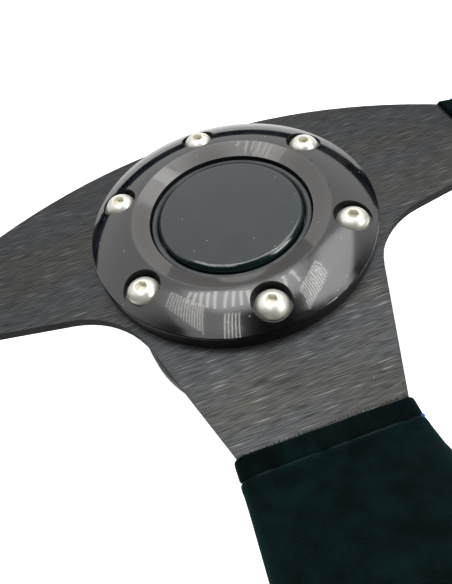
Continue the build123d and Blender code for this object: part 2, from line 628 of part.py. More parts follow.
BOOT_REACH = 60


def boot_profile(side, hem, bend, rim_centre):
    """Side view of a boot: thin at the hem, then rising and swelling on to the rim.

    Runs are measured from the axis and drawn to this side of it (1 or -1). Used inside BuildLine."""
    rise = hem + BOOT_FLAT
    meet = rim_centre - BOOT_MEET_IN
    low = (side * meet, RIM_Z - BOOT_MEET_UP)
    high = (side * meet, RIM_Z + BOOT_MEET_UP)
    rise_high = (side * rise, BOOT_TOP)
    middle = (side * (rise + meet) / 2, (BOOT_TOP + high[1]) / 2 - BOOT_SAG)
    Polyline((side * bend, BOOT_BOTTOM), (side * hem, BOOT_BOTTOM), (side * hem, BOOT_TOP), rise_high)
    ThreePointArc(rise_high, middle, high)
    Polyline(high, (side * rim_centre, high[1]), (side * rim_centre, low[1]), low)
    Line(low, (side * bend, BOOT_BOTTOM))


with BuildPart() as spoke_boot_right:
    with BuildSketch(Plane.XY.offset(BOOT_BOTTOM)):
        with BuildLine():
            ThreePointArc(
                (SPOKE_HEM_X, SIDE_BOOT_HIGH_Y), (SIDE_BOOT_WAIST_X, SIDE_BOOT_HIGH_Y + 4),
                (SIDE_BOOT_SPREAD_X, SIDE_BOOT_SPREAD_HIGH_Y),
            )
            Polyline(
                (SIDE_BOOT_SPREAD_X, SIDE_BOOT_SPREAD_HIGH_Y), (RIM_R, SIDE_BOOT_SPREAD_HIGH_Y),
                (RIM_R, SIDE_BOOT_SPREAD_LOW_Y), (SIDE_BOOT_SPREAD_X, SIDE_BOOT_SPREAD_LOW_Y),
            )
            ThreePointArc(
                (SIDE_BOOT_SPREAD_X, SIDE_BOOT_SPREAD_LOW_Y), (SIDE_BOOT_WAIST_X, SIDE_BOOT_LOW_Y - 6.5),
                (SPOKE_HEM_X, SIDE_BOOT_LOW_Y),
            )
            Line((SPOKE_HEM_X, SIDE_BOOT_LOW_Y), (SPOKE_HEM_X, SIDE_BOOT_HIGH_Y))
        make_face()
    extrude(amount=RIM_Z + RIM_HALF_H - BOOT_BOTTOM)
    with BuildSketch(Plane.XZ):
        with BuildLine():
            boot_profile(1, SPOKE_HEM_X, SIDE_BEND, RIM_R)
        make_face()
    extrude(amount=BOOT_REACH, both=True, mode=Mode.INTERSECT)
    add(spoke_plate.part, mode=Mode.SUBTRACT)
    add(grip_volume.part, mode=Mode.SUBTRACT)
spoke_boot_right.part.label = "spoke_boot_right"
export_step(spoke_boot_right.part, "parts/spoke_boot_right.step")

with BuildPart() as spoke_boot_left:
    mirror(spoke_boot_right.part, about=Plane.YZ)
spoke_boot_left.part.label = "spoke_boot_left"
export_step(spoke_boot_left.part, "parts/spoke_boot_left.step")

FLARE_Y = RIM_INNER_Y + LOWER_BOOT_FLARE
FLARE_X = LOWER_BOOT_HALF_W + LOWER_BOOT_FLARE
with BuildPart() as spoke_boot_lower:
    with BuildSketch(Plane.XY.offset(BOOT_BOTTOM)):
        with BuildLine():
            Polyline(
                (LOWER_BOOT_HALF_W, FLARE_Y), (LOWER_BOOT_HALF_W, SPOKE_HEM_Y),
                (-LOWER_BOOT_HALF_W, SPOKE_HEM_Y), (-LOWER_BOOT_HALF_W, FLARE_Y),
            )
            CenterArc((FLARE_X, FLARE_Y), LOWER_BOOT_FLARE, 180, 90)
            CenterArc((-FLARE_X, FLARE_Y), LOWER_BOOT_FLARE, 270, 90)
            Polyline(
                (FLARE_X, RIM_INNER_Y), (FLARE_X, RIM_FLAT_Y),
                (-FLARE_X, RIM_FLAT_Y), (-FLARE_X, RIM_INNER_Y),
            )
        make_face()
    extrude(amount=RIM_Z + RIM_HALF_H - BOOT_BOTTOM)
    with BuildSketch(Plane.YZ):
        with BuildLine():
            boot_profile(-1, -SPOKE_HEM_Y, LOWER_BEND, -RIM_FLAT_Y)
        make_face()
    extrude(amount=BOOT_REACH, both=True, mode=Mode.INTERSECT)
    add(spoke_plate.part, mode=Mode.SUBTRACT)
    add(grip_volume.part, mode=Mode.SUBTRACT)
spoke_boot_lower.part.label = "spoke_boot_lower"
export_step(spoke_boot_lower.part, "parts/spoke_boot_lower.step")
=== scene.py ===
from math import asin, atan2, cos, exp, hypot, pi, radians, sin, sqrt

import bpy
from mathutils import Matrix, Vector, noise


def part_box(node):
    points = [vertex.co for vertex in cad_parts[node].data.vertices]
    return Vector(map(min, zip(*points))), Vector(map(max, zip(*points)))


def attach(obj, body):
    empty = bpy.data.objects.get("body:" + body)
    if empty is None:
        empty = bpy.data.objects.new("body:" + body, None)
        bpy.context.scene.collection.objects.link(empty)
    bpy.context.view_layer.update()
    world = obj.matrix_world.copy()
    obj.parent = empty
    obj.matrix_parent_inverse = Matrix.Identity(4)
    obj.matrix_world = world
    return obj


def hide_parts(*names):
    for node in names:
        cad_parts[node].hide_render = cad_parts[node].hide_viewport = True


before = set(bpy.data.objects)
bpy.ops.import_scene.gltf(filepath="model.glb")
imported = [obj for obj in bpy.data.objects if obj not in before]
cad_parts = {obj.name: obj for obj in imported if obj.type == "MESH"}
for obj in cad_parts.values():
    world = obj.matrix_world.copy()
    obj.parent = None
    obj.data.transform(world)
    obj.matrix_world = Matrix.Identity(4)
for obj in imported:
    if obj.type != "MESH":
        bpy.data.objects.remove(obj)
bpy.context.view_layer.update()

# Steering wheel with a suede rim on a black brushed spoke plate. The metal and plastic pieces keep
# their own shapes and get finishes here. The suede grip, the suede boots over the spoke ends and
# all the sewing are made here, in millimetres, and turned into metres by `loft` and `sew`.

# --- Sizes, in millimetres -----------------------------------------------------------------
def low_high(node):
    """Lowest and highest corner of a node."""
    low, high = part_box(node)
    return [v * 1000 for v in low], [v * 1000 for v in high]


right_low, right_high = low_high("rim_cover_right")
bottom_low, _ = low_high("rim_cover_bottom")
plate_low, _ = low_high("spoke_plate")
side_boot_low, side_boot_high = low_high("spoke_boot_right")
_, lower_boot_high = low_high("spoke_boot_lower")

PLATE_BOTTOM = plate_low[2]
PLATE_T = 3
PLATE_TOP = PLATE_BOTTOM + PLATE_T
GRIP_HALF_W = 14
GRIP_HALF_H = (right_high[2] - right_low[2]) / 2
RIM_Z = (right_high[2] + right_low[2]) / 2
RIM_R = right_high[0] - GRIP_HALF_W
RIM_FLAT_Y = bottom_low[1] + GRIP_HALF_W
CORNER_R = 60
CORNER_Y = RIM_FLAT_Y + CORNER_R
CORNER_X = sqrt((RIM_R - CORNER_R) ** 2 - CORNER_Y**2)
CORNER_ANGLE = asin(CORNER_Y / (RIM_R - CORNER_R))
TOP_SEAM_ANGLE = radians(35)
SUEDE_T = 1.2

SIDE_HEM = side_boot_low[0]
LOWER_HEM = -lower_boot_high[1]
BOOT_TOP = PLATE_TOP + 1.3
BOOT_BOTTOM = PLATE_BOTTOM - 1.3
HEM_BAND = 4.8
BOOT_FLAT = 5.2
PLATE_BEND = 12
BOOT_SAG = 4.5
MEET_IN = GRIP_HALF_W * cos(radians(50))
MEET_UP = GRIP_HALF_H * sin(radians(50))


# --- Camera ----------------------------------------------------------------------------------
def make_camera():
    data = bpy.data.cameras.new("camera")
    data.lens = 30.045
    data.sensor_width = 36
    data.clip_start = 0.01
    camera = bpy.data.objects.new("camera", data)
    bpy.context.scene.collection.objects.link(camera)
    forward = Vector((0.05893, 0.58116, -0.81166)).normalized()
    right = Vector((0.94351, -0.29800, -0.14486)).normalized()
    up = right.cross(forward)
    turn = Matrix((right, up, -forward)).transposed()
    camera.matrix_world = Matrix.Translation((-0.01717, -0.10047, 0.15819)) @ turn.to_4x4()
    bpy.context.scene.camera = camera


make_camera()


# --- Building node trees ---------------------------------------------------------------------
class Tree:
    """A node tree with short ways to add a node and to join sockets."""

    def __init__(self, tree):
        self.tree = tree

    def add(self, kind, inputs=None, **settings):
        made = self.tree.nodes.new(kind)
        for name, value in settings.items():
            setattr(made, name, value)
        for name, value in (inputs or {}).items():
            if isinstance(value, bpy.types.NodeSocket):
                self.tree.links.new(value, made.inputs[name])
            else:
                made.inputs[name].default_value = value
        return made

    def sum(self, operation, *values, clamp=False):
        made = self.add(
            "ShaderNodeMath", dict(enumerate(values)), operation=operation, use_clamp=clamp
        )
        return made.outputs[0]

    def spread(self, value, low, high, to_low=0.0, to_high=1.0, smooth=False):
        made = self.add(
            "ShaderNodeMapRange",
            {"Value": value, "From Min": low, "From Max": high, "To Min": to_low, "To Max": to_high},
            interpolation_type="SMOOTHSTEP" if smooth else "LINEAR",
        )
        return made.outputs[0]

    def colour(self, mask, first, second):
        made = self.add("ShaderNodeMix", data_type="RGBA")
        for socket, value in ((0, mask), (6, first), (7, second)):
            if isinstance(value, bpy.types.NodeSocket):
                self.tree.links.new(value, made.inputs[socket])
            elif socket:
                made.inputs[socket].default_value = (*value, 1)
            else:
                made.inputs[socket].default_value = value
        return made.outputs[2]

    def stretched(self, vector, scale):
        return self.add("ShaderNodeMapping", {"Vector": vector, "Scale": scale}).outputs[0]

    def noise(self, vector, scale, detail=2.0, roughness=0.5):
        made = self.add(
            "ShaderNodeTexNoise",
            {"Vector": vector, "Scale": scale, "Detail": detail, "Roughness": roughness},
        )
        return made.outputs["Fac"]


SOCKETS = {"vector": "NodeSocketVector", "number": "NodeSocketFloat"}


def new_group(name, inputs, outputs):
    """A shader node group: its tree, its input sockets and its output node."""
    group = bpy.data.node_groups.new(name, "ShaderNodeTree")
    for socket, kind, value in inputs:
        made = group.interface.new_socket(socket, in_out="INPUT", socket_type=SOCKETS[kind])
        if value is not None:
            made.default_value = value
    for socket in outputs:
        group.interface.new_socket(socket, in_out="OUTPUT", socket_type="NodeSocketFloat")
    tree = Tree(group)
    given = tree.add("NodeGroupInput").outputs
    return tree, given, tree.add("NodeGroupOutput").inputs


def place_group(tree, name, inputs):
    """Puts a shader group in a material with these values and returns its outputs."""
    made = tree.tree.nodes.new("ShaderNodeGroup")
    made.node_tree = bpy.data.node_groups[name]
    for socket, value in inputs.items():
        if isinstance(value, bpy.types.NodeSocket):
            tree.tree.links.new(value, made.inputs[socket])
        else:
            made.inputs[socket].default_value = value
    return made.outputs


def make_brushing():
    """Long scratches along X, as a belt leaves them: a height and a light-and-dark streak."""
    tree, given, out = new_group(
        "brushing",
        [("Vector", "vector", None), ("Fineness", "number", 1.0)],
        ["Height", "Streaks", "Scratches"],
    )
    scaled = tree.add("ShaderNodeVectorMath", operation="SCALE").outputs[0]
    tree.tree.links.new(given["Vector"], scaled.node.inputs[0])
    tree.tree.links.new(given["Fineness"], scaled.node.inputs["Scale"])
    fine = tree.noise(tree.stretched(scaled, (260, 6400, 400)), 1.0, 1.0, 0.5)
    middle = tree.noise(tree.stretched(scaled, (150, 3600, 200)), 1.0, 1.0, 0.5)
    broad = tree.noise(tree.stretched(scaled, (40, 500, 60)), 1.0, 1.0, 0.5)
    height = tree.sum("ADD", tree.sum("MULTIPLY", fine, 0.5), tree.sum("MULTIPLY", middle, 0.5))
    streaks = tree.sum("ADD", tree.sum("MULTIPLY", height, 0.92), tree.sum("MULTIPLY", broad, 0.08))
    lone = tree.noise(tree.stretched(scaled, (130, 3000, 300)), 1.0, 0.0)
    tree.tree.links.new(height, out["Height"])
    tree.tree.links.new(streaks, out["Streaks"])
    tree.tree.links.new(tree.spread(lone, 0.70, 0.80), out["Scratches"])


def make_dust():
    """Small specks, thinly spread."""
    tree, given, out = new_group(
        "dust",
        [("Vector", "vector", None), ("Cells", "number", 400.0), ("Size", "number", 0.08),
         ("Amount", "number", 0.3)],
        ["Mask"],
    )
    cells = tree.add(
        "ShaderNodeTexVoronoi", {"Vector": given["Vector"], "Scale": given["Cells"], "Randomness": 1.0}
    )
    near = tree.sum("LESS_THAN", cells.outputs["Distance"], given["Size"])
    chosen = tree.sum("LESS_THAN", tree.add(
        "ShaderNodeSeparateColor", {"Color": cells.outputs["Color"]}
    ).outputs[0], given["Amount"])
    tree.tree.links.new(tree.sum("MULTIPLY", near, chosen), out["Mask"])


def make_handling():
    """Cloudy marks left by wiping and fingers."""
    tree, given, out = new_group(
        "handling_marks", [("Vector", "vector", None), ("Scale", "number", 60.0)], ["Mask"]
    )
    clouds = tree.noise(given["Vector"], given["Scale"], 5.0, 0.6)
    tree.tree.links.new(tree.spread(clouds, 0.36, 0.66, smooth=True), out["Mask"])


def make_turning():
    """Rings round the steering axis, as a lathe leaves them."""
    tree, given, out = new_group(
        "turning",
        [("Vector", "vector", None), ("Lines", "number", 3000.0)],
        ["Height", "Bands", "Radius"],
    )
    parts = tree.add("ShaderNodeSeparateXYZ", {"Vector": given["Vector"]}).outputs
    flat = tree.add("ShaderNodeCombineXYZ", {"X": parts["X"], "Y": parts["Y"]}).outputs[0]
    length = tree.add("ShaderNodeVectorMath", operation="LENGTH")
    tree.tree.links.new(flat, length.inputs[0])
    radius = length.outputs["Value"]
    rings = tree.add("ShaderNodeCombineXYZ", {"X": radius, "Z": parts["Z"]}).outputs[0]
    tree.tree.links.new(tree.noise(rings, given["Lines"], 1.0), out["Height"])
    tree.tree.links.new(
        tree.noise(rings, tree.sum("MULTIPLY", given["Lines"], 0.12), 2.0), out["Bands"]
    )
    tree.tree.links.new(radius, out["Radius"])


def make_edge_wear():
    """Rubbed edge of a round piece: near one radius and one height, broken up."""
    tree, given, out = new_group(
        "edge_wear",
        [("Vector", "vector", None), ("Radius", "number", 0.03), ("Height", "number", 0.0),
         ("Width", "number", 0.0008)],
        ["Mask"],
    )
    parts = tree.add("ShaderNodeSeparateXYZ", {"Vector": given["Vector"]}).outputs
    flat = tree.add("ShaderNodeCombineXYZ", {"X": parts["X"], "Y": parts["Y"]}).outputs[0]
    length = tree.add("ShaderNodeVectorMath", operation="LENGTH")
    tree.tree.links.new(flat, length.inputs[0])
    out_by = tree.sum("SUBTRACT", length.outputs["Value"], given["Radius"])
    up_by = tree.sum("SUBTRACT", parts["Z"], given["Height"])
    away = tree.sum("SQRT", tree.sum(
        "ADD", tree.sum("MULTIPLY", out_by, out_by), tree.sum("MULTIPLY", up_by, up_by)
    ))
    near = tree.sum("SUBTRACT", 1.0, tree.sum("DIVIDE", away, given["Width"]), clamp=True)
    broken = tree.spread(tree.noise(given["Vector"], 700.0, 3.0), 0.42, 0.62)
    tree.tree.links.new(tree.sum("MULTIPLY", near, broken, clamp=True), out["Mask"])


def make_nap():
    """Suede nap: brushed patches, short fibres and their height."""
    tree, given, out = new_group(
        "nap",
        [("Vector", "vector", None), ("Patches", "number", 70.0), ("Fibres", "number", 2600.0)],
        ["Shade", "Fibre", "Height"],
    )
    patches = tree.noise(given["Vector"], given["Patches"], 4.0, 0.62)
    strokes = tree.noise(tree.stretched(given["Vector"], (1.0, 0.6, 1.0)), 260.0, 4.0, 0.65)
    fibres = tree.noise(given["Vector"], given["Fibres"], 2.0, 0.7)
    shade = tree.sum("ADD", tree.sum("MULTIPLY", patches, 0.6), tree.sum("MULTIPLY", strokes, 0.4))
    tree.tree.links.new(tree.spread(shade, 0.36, 0.66, smooth=True), out["Shade"])
    tree.tree.links.new(fibres, out["Fibre"])
    height = tree.sum("ADD", tree.sum("MULTIPLY", fibres, 0.85), tree.sum("MULTIPLY", strokes, 0.15))
    tree.tree.links.new(height, out["Height"])


for make in (make_brushing, make_dust, make_handling, make_turning, make_edge_wear, make_nap):
    make()


# --- Finishes --------------------------------------------------------------------------------
def new_finish(name, **shader):
    """A material, its tree, its Principled shader and its object coordinates."""
    material = bpy.data.materials.new(name)
    material.use_nodes = True
    tree = Tree(material.node_tree)
    principled = material.node_tree.nodes["Principled BSDF"]
    for socket, value in shader.items():
        principled.inputs[socket.replace("_", " ")].default_value = value
    place = tree.add("ShaderNodeTexCoord").outputs
    return material, tree, principled, place


def join(tree, principled, **sockets):
    for name, value in sockets.items():
        tree.tree.links.new(value, principled.inputs[name.replace("_", " ")])


def bump(tree, principled, height, depth, strength=1.0):
    made = tree.add("ShaderNodeBump", {"Height": height, "Distance": depth, "Strength": strength})
    tree.tree.links.new(made.outputs[0], principled.inputs["Normal"])


def brushed_black_plate():
    material, tree, shader, place = new_finish("brushed_black_plate", Specular_IOR_Level=0.5)
    where = place["Object"]
    lines = place_group(tree, "brushing", {"Vector": where, "Fineness": 1.0})
    marks = place_group(tree, "handling_marks", {"Vector": where, "Scale": 38.0})["Mask"]
    specks = place_group(tree, "dust", {"Vector": where, "Cells": 260.0, "Size": 0.05, "Amount": 0.1})["Mask"]
    facing = tree.add("ShaderNodeSeparateXYZ", {"Vector": place["Normal"]}).outputs["Z"]
    face = tree.spread(tree.sum("ABSOLUTE", facing), 0.6, 0.9)
    streaks = tree.spread(lines["Streaks"], 0.36, 0.66)
    cool = tree.colour(streaks, (0.016, 0.018, 0.021), (0.094, 0.098, 0.104))
    warm = tree.colour(streaks, (0.017, 0.017, 0.016), (0.099, 0.098, 0.090))
    tint = tree.spread(tree.noise(tree.stretched(where, (18, 60, 1)), 1.0, 2.0), 0.4, 0.6)
    colour = tree.colour(tint, cool, warm)
    colour = tree.colour(tree.sum("MULTIPLY", lines["Scratches"], 0.5), colour, (0.30, 0.30, 0.29))
    colour = tree.colour(tree.sum("MULTIPLY", specks, 0.35), colour, (0.35, 0.34, 0.32))
    # painted shade: faces that do not lie flat, the plate's side walls, get a near-black colour in place of
    # the brushed one
    colour = tree.colour(face, (0.002, 0.003, 0.003), colour)
    worn_smooth = tree.spread(marks, 0, 1, 0.36, 0.46)
    rough = tree.sum("ADD", worn_smooth, tree.spread(lines["Height"], 0.3, 0.7, -0.05, 0.05))
    rough = tree.sum("ADD", rough, tree.spread(face, 0, 1, 0.35, 0))
    join(tree, shader, Base_Color=colour, Roughness=rough, Metallic=tree.spread(face, 0, 1, 0.0, 0.82))
    bump(tree, shader, tree.sum("MULTIPLY", lines["Height"], face), 0.00008, 0.7)
    return material


def turned_metal(name, dark, light, rough, metallic, edges, lines=2600.0, coat=0.0):
    """Finish of a turned piece: lathe rings, handling marks and rubbed edges at (radius, height)."""
    material, tree, shader, place = new_finish(name, Coat_Weight=coat, Coat_Roughness=0.08)
    where = place["Object"]
    rings = place_group(tree, "turning", {"Vector": where, "Lines": lines})
    marks = place_group(tree, "handling_marks", {"Vector": where, "Scale": 70.0})["Mask"]
    colour = tree.colour(tree.spread(rings["Bands"], 0.35, 0.65), dark, light)
    colour = tree.colour(tree.sum("MULTIPLY", marks, 0.25), colour, tuple(v * 0.7 for v in light))
    for radius, height in edges:
        worn = place_group(
            tree, "edge_wear", {"Vector": where, "Radius": radius, "Height": height, "Width": 0.0011}
        )
        colour = tree.colour(tree.sum("MULTIPLY", worn["Mask"], 0.7), colour, (0.5, 0.5, 0.5))
    wiped = tree.spread(marks, 0, 1, rough, rough + 0.1)
    join(tree, shader, Base_Color=colour,
         Roughness=tree.sum("ADD", wiped, tree.spread(rings["Height"], 0.3, 0.7, -0.04, 0.04)),
         Metallic=tree.spread(marks, 0, 1, metallic, metallic * 0.9))
    bump(tree, shader, rings["Height"], 0.00002, 0.6)
    return material


def polish(tree, where, cells):
    """Wiping marks, lathe rings and dust that both polished pieces share."""
    marks = place_group(tree, "handling_marks", {"Vector": where, "Scale": 90.0})["Mask"]
    rings = place_group(tree, "turning", {"Vector": where, "Lines": 1500.0})
    specks = place_group(tree, "dust", {"Vector": where, "Cells": cells, "Size": 0.09, "Amount": 0.35})
    return marks, rings, specks["Mask"]


def polished_ring():
    """Polished black slope, a satin dish inside its crest and a dull outer wall with painted shade that makes
    it blacker than the slope.
    """
    material, tree, shader, place = new_finish("gloss_black_ring", Coat_Roughness=0.04, Coat_IOR=1.6)
    marks, rings, specks = polish(tree, place["Object"], 300.0)
    slope = tree.spread(rings["Radius"], RING_CREST - 0.0004, RING_CREST + 0.0006, smooth=True)
    upright = tree.add("ShaderNodeSeparateXYZ", {"Vector": place["Normal"]}).outputs["Z"]
    wall = tree.spread(upright, 0.35, 0.65, 1, 0)
    dish = tree.colour(tree.spread(rings["Bands"], 0.4, 0.7), (0.060, 0.056, 0.053), (0.078, 0.073, 0.069))
    gloss = tree.colour(tree.sum("MULTIPLY", marks, 0.5), (0.0022, 0.0024, 0.0028), (0.0050, 0.0050, 0.0050))
    colour = tree.colour(slope, dish, gloss)
    # painted shade: the upright outer wall gets a still darker black than the polished slope
    colour = tree.colour(wall, colour, (0.0010, 0.0014, 0.0020))
    colour = tree.colour(tree.sum("MULTIPLY", specks, 0.35), colour, (0.40, 0.40, 0.38))
    rough = tree.spread(marks, 0, 1, 0.12, 0.2)
    rough = tree.sum("ADD", rough, tree.spread(slope, 0, 1, 0.16, 0.0))
    rough = tree.sum("ADD", rough, tree.spread(wall, 0, 1, 0.0, 0.35))
    coat = tree.sum("MULTIPLY", tree.spread(slope, 0, 1, 0.7, 1.0), tree.spread(wall, 0, 1, 1, 0.1))
    join(tree, shader, Base_Color=colour, Roughness=rough, Coat_Weight=coat)
    bump(tree, shader, rings["Height"], 0.000006, 0.5)
    return material


def polished_cap():
    """Smooth black button with dust on it."""
    material, tree, shader, place = new_finish(
        "gloss_black_cap", Coat_Weight=1.0, Coat_Roughness=0.03, Coat_IOR=1.5
    )
    marks, _, specks = polish(tree, place["Object"], 420.0)
    colour = tree.colour(tree.sum("MULTIPLY", marks, 0.5), (0.003, 0.011, 0.012), (0.007, 0.016, 0.017))
    colour = tree.colour(tree.sum("MULTIPLY", specks, 0.4), colour, (0.45, 0.46, 0.44))
    join(tree, shader, Base_Color=colour, Roughness=tree.spread(marks, 0, 1, 0.14, 0.24))
    return material


def moulded(name, dark, light, rough, grain=2200.0, depth=0.00003):
    """Moulded plastic, rubber or foam: fine grain, cloudy shade."""
    material, tree, shader, place = new_finish(name, Specular_IOR_Level=0.4)
    where = place["Object"]
    marks = place_group(tree, "handling_marks", {"Vector": where, "Scale": 120.0})["Mask"]
    fine = tree.noise(where, grain, 3.0, 0.6)
    colour = tree.colour(tree.sum("MULTIPLY", marks, 0.8), dark, light)
    join(tree, shader, Base_Color=colour, Roughness=tree.spread(fine, 0.3, 0.7, rough - 0.06, rough + 0.06))
    bump(tree, shader, fine, depth, 0.8)
    return material


def bright_screws():
    """Plated button heads, a little warm, with wear marks, and painted shade darkening the sockets and the
    lower sides.
    """
    material, tree, shader, place = new_finish("bright_steel", Metallic=0.6)
    where = place["Object"]
    marks = place_group(tree, "handling_marks", {"Vector": where, "Scale": 420.0})["Mask"]
    fine = tree.noise(where, 5200.0, 2.0)
    height = tree.add("ShaderNodeSeparateXYZ", {"Vector": where}).outputs["Z"]
    top = low_high("ring_screws")[1][2] * 0.001
    # painted shade: the sockets and the lower sides of the heads, more than about a millimetre below the
    # tops, get a darker, yellower colour
    down = tree.spread(height, top - 0.0016, top - 0.0007)
    colour = tree.colour(marks, (0.97, 0.96, 0.90), (0.88, 0.86, 0.78))
    colour = tree.colour(down, (0.84, 0.80, 0.68), colour)
    join(tree, shader, Base_Color=colour, Roughness=tree.spread(marks, 0, 1, 0.30, 0.42))
    bump(tree, shader, fine, 0.00001, 0.6)
    return material


def plain_metal(name, dark, light, rough, grain=1800.0):
    material, tree, shader, place = new_finish(name, Metallic=1.0)
    where = place["Object"]
    marks = place_group(tree, "handling_marks", {"Vector": where, "Scale": 200.0})["Mask"]
    fine = tree.noise(where, grain, 3.0)
    join(tree, shader, Base_Color=tree.colour(marks, dark, light),
         Roughness=tree.spread(fine, 0.3, 0.7, rough - 0.05, rough + 0.08))
    bump(tree, shader, fine, 0.00001, 0.5)
    return material


def black_suede():
    material, tree, shader, place = new_finish(
        "black_suede", Specular_IOR_Level=0.05, Sheen_Weight=0.09, Sheen_Roughness=0.45,
        Sheen_Tint=(0.10, 0.60, 0.64, 1),
    )
    where = place["Object"]
    nap = place_group(tree, "nap", {"Vector": where, "Patches": 110.0, "Fibres": 2600.0})
    specks = place_group(tree, "dust", {"Vector": where, "Cells": 330.0, "Size": 0.06, "Amount": 0.12})
    rubbed = place_group(tree, "handling_marks", {"Vector": where, "Scale": 26.0})["Mask"]
    colour = tree.colour(nap["Shade"], (0.0001, 0.0010, 0.0013), (0.0026, 0.0100, 0.0102))
    colour = tree.colour(tree.spread(nap["Fibre"], 0.5, 0.8, 0.0, 0.45), colour, (0.0050, 0.0110, 0.0112))
    colour = tree.colour(tree.sum("MULTIPLY", rubbed, 0.3), colour, (0.0016, 0.0034, 0.0036))
    raw = tree.add("ShaderNodeAttribute", attribute_name="cut_edge").outputs["Fac"]
    frayed = tree.spread(tree.noise(where, 260.0, 2.0), 0.35, 0.6)
    edge = tree.sum("MULTIPLY", tree.sum("MULTIPLY", raw, frayed), 0.9)
    colour = tree.colour(edge, colour, (0.034, 0.044, 0.043))
    colour = tree.colour(tree.sum("MULTIPLY", specks["Mask"], 0.25), colour, (0.18, 0.19, 0.19))
    join(tree, shader, Base_Color=colour, Roughness=tree.spread(nap["Shade"], 0, 1, 0.82, 0.97))
    bump(tree, shader, nap["Height"], 0.00028, 0.8)
    return material


def sewing_thread(name, dark, light):
    """Twisted thread with a soft shine."""
    material, tree, shader, place = new_finish(name, Specular_IOR_Level=0.4, Sheen_Weight=0.3)
    twist = tree.noise(tree.stretched(place["Object"], (1.0, 1.0, 1.6)), 3800.0, 1.0)
    join(tree, shader, Base_Color=tree.colour(tree.spread(twist, 0.4, 0.6), dark, light),
         Roughness=tree.spread(twist, 0.3, 0.7, 0.5, 0.7))
    bump(tree, shader, twist, 0.0001, 0.8)
    return material


def node_edge(node, radius=None):
    """(radius, height) of the upper and lower outer edges of a round node, in metres."""
    low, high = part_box(node)
    radius = radius or high[0]
    return [(radius, low[2]), (radius, high[2])]


# radii and (radius, height) of rubbed edges on the turned pieces, in metres
RING_CREST = 0.029
FINGER_FLANGE_R = 0.031
COLLAR_TOP_EDGE = (0.0265, 0.0386)
HUB_FLANGE_EDGE = (0.042, 0.040)
BOSS_TIP_EDGE = (0.0155, 0.029)
SUEDE = black_suede()
BLUE_THREAD = sewing_thread("blue_thread", (0.006, 0.070, 0.340), (0.012, 0.160, 0.700))
BLACK_THREAD = sewing_thread("black_thread", (0.010, 0.011, 0.012), (0.035, 0.037, 0.040))
RELEASE_BLACK = turned_metal(
    "black_anodised", (0.018, 0.018, 0.020), (0.036, 0.036, 0.040), 0.30, 0.75,
    node_edge("release_collar", FINGER_FLANGE_R) + node_edge("quick_release_hub")[1:]
    + [COLLAR_TOP_EDGE, HUB_FLANGE_EDGE],
)
BOSS_GREY = turned_metal(
    "hard_anodised", (0.105, 0.110, 0.112), (0.165, 0.170, 0.172), 0.34, 0.8,
    [BOSS_TIP_EDGE],
)
FINISHES = {
    "spoke_plate": brushed_black_plate(),
    "horn_ring": polished_ring(),
    "horn_cap": polished_cap(),
    "horn_housing": moulded("grey_plastic", (0.050, 0.056, 0.062), (0.090, 0.096, 0.100), 0.36),
    "ring_screws": bright_screws(),
    "quick_release_hub": RELEASE_BLACK,
    "release_collar": RELEASE_BLACK,
    "column_boss": BOSS_GREY,
    "collar_retainer": plain_metal("spring_steel", (0.30, 0.31, 0.33), (0.46, 0.46, 0.47), 0.30),
    "anti_rattle_ring": moulded("rubber", (0.012, 0.012, 0.012), (0.026, 0.026, 0.026), 0.72),
    "horn_base": moulded("black_plastic", (0.012, 0.012, 0.012), (0.030, 0.030, 0.030), 0.45),
    "horn_contact_disc": plain_metal("brass", (0.58, 0.42, 0.16), (0.78, 0.62, 0.28), 0.28),
    "rim_core": plain_metal("bare_aluminium", (0.56, 0.57, 0.58), (0.72, 0.72, 0.73), 0.36),
    "rim_foam": moulded("foam", (0.022, 0.022, 0.022), (0.045, 0.045, 0.045), 0.85, 900.0, 0.0003),
    "locking_ball_1": plain_metal("ball_steel", (0.66, 0.67, 0.69), (0.80, 0.80, 0.82), 0.12),
}
for number in range(2, 7):
    FINISHES[f"locking_ball_{number}"] = FINISHES["locking_ball_1"]
FINISHES["collar_spring"] = FINISHES["horn_spring"] = FINISHES["collar_retainer"]
FINISHES["horn_terminals"] = FINISHES["horn_contact_disc"]
FINISHES["rim_rivets"] = FINISHES["rim_core"]
for name, finish in FINISHES.items():
    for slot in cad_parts[name].material_slots:
        slot.material = finish


# --- Soft shapes -------------------------------------------------------------------------------
def loft(name, sections, ring=False):
    """A closed suede skin through sections of (x, y, z, cut_edge) points, in millimetres.

    With ring the last section joins the first; otherwise both ends are closed with a flat face."""
    count = len(sections[0])
    points = [point for section in sections for point in section]
    faces = []
    for i in range(len(sections) if ring else len(sections) - 1):
        here, after = i * count, (i + 1) % len(sections) * count
        for j in range(count):
            k = (j + 1) % count
            faces.append((here + j, here + k, after + k, after + j))
    if not ring:
        faces.append(tuple(range(count - 1, -1, -1)))
        faces.append(tuple(range(len(points) - count, len(points))))
    mesh = bpy.data.meshes.new(name)
    mesh.from_pydata([tuple(v * 0.001 for v in point[:3]) for point in points], [], faces)
    volume = 0.0
    for polygon in mesh.polygons:
        corners = [mesh.vertices[i].co for i in polygon.vertices]
        for second, third in zip(corners[1:], corners[2:]):
            volume += corners[0].dot(second.cross(third))
    if volume < 0:
        mesh.flip_normals()
    edge = mesh.attributes.new("cut_edge", "FLOAT", "POINT")
    edge.data.foreach_set("value", [point[3] for point in points])
    mesh.shade_smooth()
    mesh.materials.append(SUEDE)
    piece = bpy.data.objects.new(name, mesh)
    bpy.context.scene.collection.objects.link(piece)
    return piece


def bulge(value, centre, width):
    return exp(-(((value - centre) / width) ** 2))


